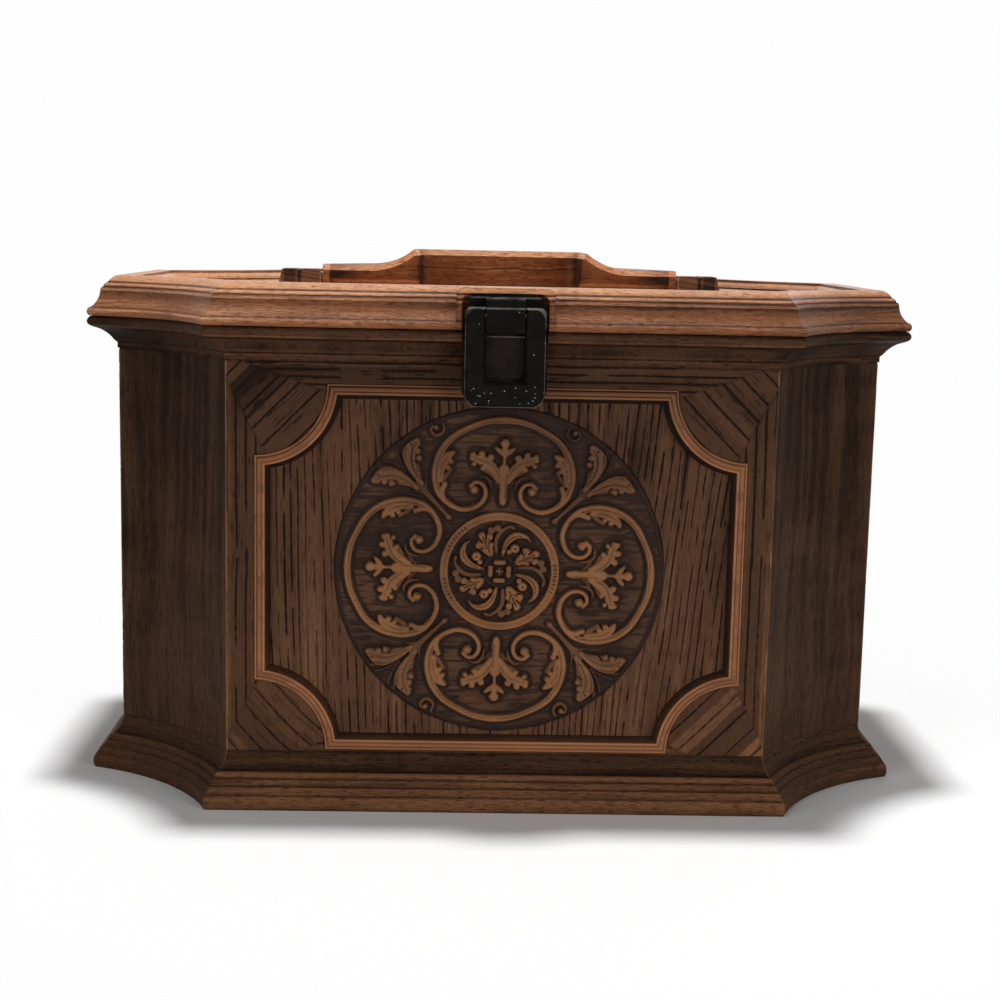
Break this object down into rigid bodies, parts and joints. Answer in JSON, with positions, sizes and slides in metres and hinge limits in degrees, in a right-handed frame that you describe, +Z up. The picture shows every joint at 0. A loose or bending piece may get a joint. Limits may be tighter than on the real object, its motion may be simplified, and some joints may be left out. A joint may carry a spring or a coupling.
{
  "type": "sewing box",
  "caption": "Long octagonal sewing box with hollowed corners, hinged lid, folding top handle, snap hasp, round relief medallion and a lift-out divided tray.",
  "frame": {"origin": "centre of the underside, on the surface that the box stands on", "axes": "+X to the right along the length, front towards -Y, +Z up"},
  "size_m": [0.368, 0.247, 0.2382],
  "materials": {
    "case_plastic": "moulded wood grain, dark antiqued oak brown, satin",
    "medallion_plastic": "moulded relief, dark ground with bronze-brown crests",
    "lid_plastic": "moulded wood grain, orange oak brown with lighter edges, satin",
    "handle_plastic": "moulded wood grain, orange oak brown, satin",
    "bracket_plastic": "moulded wood grain, mid brown, satin",
    "latch_plastic": "black, fine pebble texture",
    "hinge_metal": "dull brass plate",
    "pin_metal": "plain steel",
    "dark_pin_metal": "blackened steel",
    "screw_metal": "plain steel",
    "tray_plastic": "moulded tan plastic, satin"
  },
  "bodies": {
    "case": {"body_shell": "case_plastic", "front_medallion": "medallion_plastic", "latch_keeper": "latch_plastic", "keeper_screws": "screw_metal", "hinge_body_leaf_left": "hinge_metal", "hinge_body_leaf_right": "hinge_metal", "hinge_pin_left": "pin_metal", "hinge_pin_right": "pin_metal", "hinge_body_screws": "screw_metal", "tray_ledge_front": "case_plastic", "tray_ledge_back": "case_plastic"},
    "lid": {"lid_shell": "lid_plastic", "latch_mount": "latch_plastic", "latch_pin": "dark_pin_metal", "latch_screws": "screw_metal", "handle_bracket_left": "bracket_plastic", "handle_bracket_right": "bracket_plastic", "handle_screws": "screw_metal", "hinge_lid_leaf_left": "hinge_metal", "hinge_lid_leaf_right": "hinge_metal", "hinge_lid_screws": "screw_metal"},
    "handle": {"handle_bail": "handle_plastic", "handle_pin_left": "pin_metal", "handle_pin_right": "pin_metal"},
    "hasp": {"latch_hasp": "latch_plastic"},
    "tray": {"tray": "tray_plastic", "spool_pegs": "tray_plastic", "tray_divider_long": "tray_plastic", "tray_divider_left": "tray_plastic", "tray_divider_right": "tray_plastic", "tray_divider_back": "tray_plastic"}
  },
  "joints": [
    {"name": "lid_hinge", "type": "hinge", "parent": "case", "child": "lid", "pos_m": [0, 0.1208, 0.20715], "axis": [-1, 0, 0], "range_deg": [0, 100]},
    {"name": "handle_pivot", "type": "hinge", "parent": "lid", "child": "handle", "pos_m": [0, 0, 0.226], "axis": [1, 0, 0], "range_deg": [0, 90]},
    {"name": "hasp_pivot", "type": "hinge", "parent": "lid", "child": "hasp", "pos_m": [0, -0.1217, 0.2135], "axis": [-1, 0, 0], "range_deg": [0, 150]},
    {"name": "tray_lift", "type": "slide", "parent": "case", "child": "tray", "axis": [0, 0, 1], "range_m": [0, 0.008]}
  ]
}
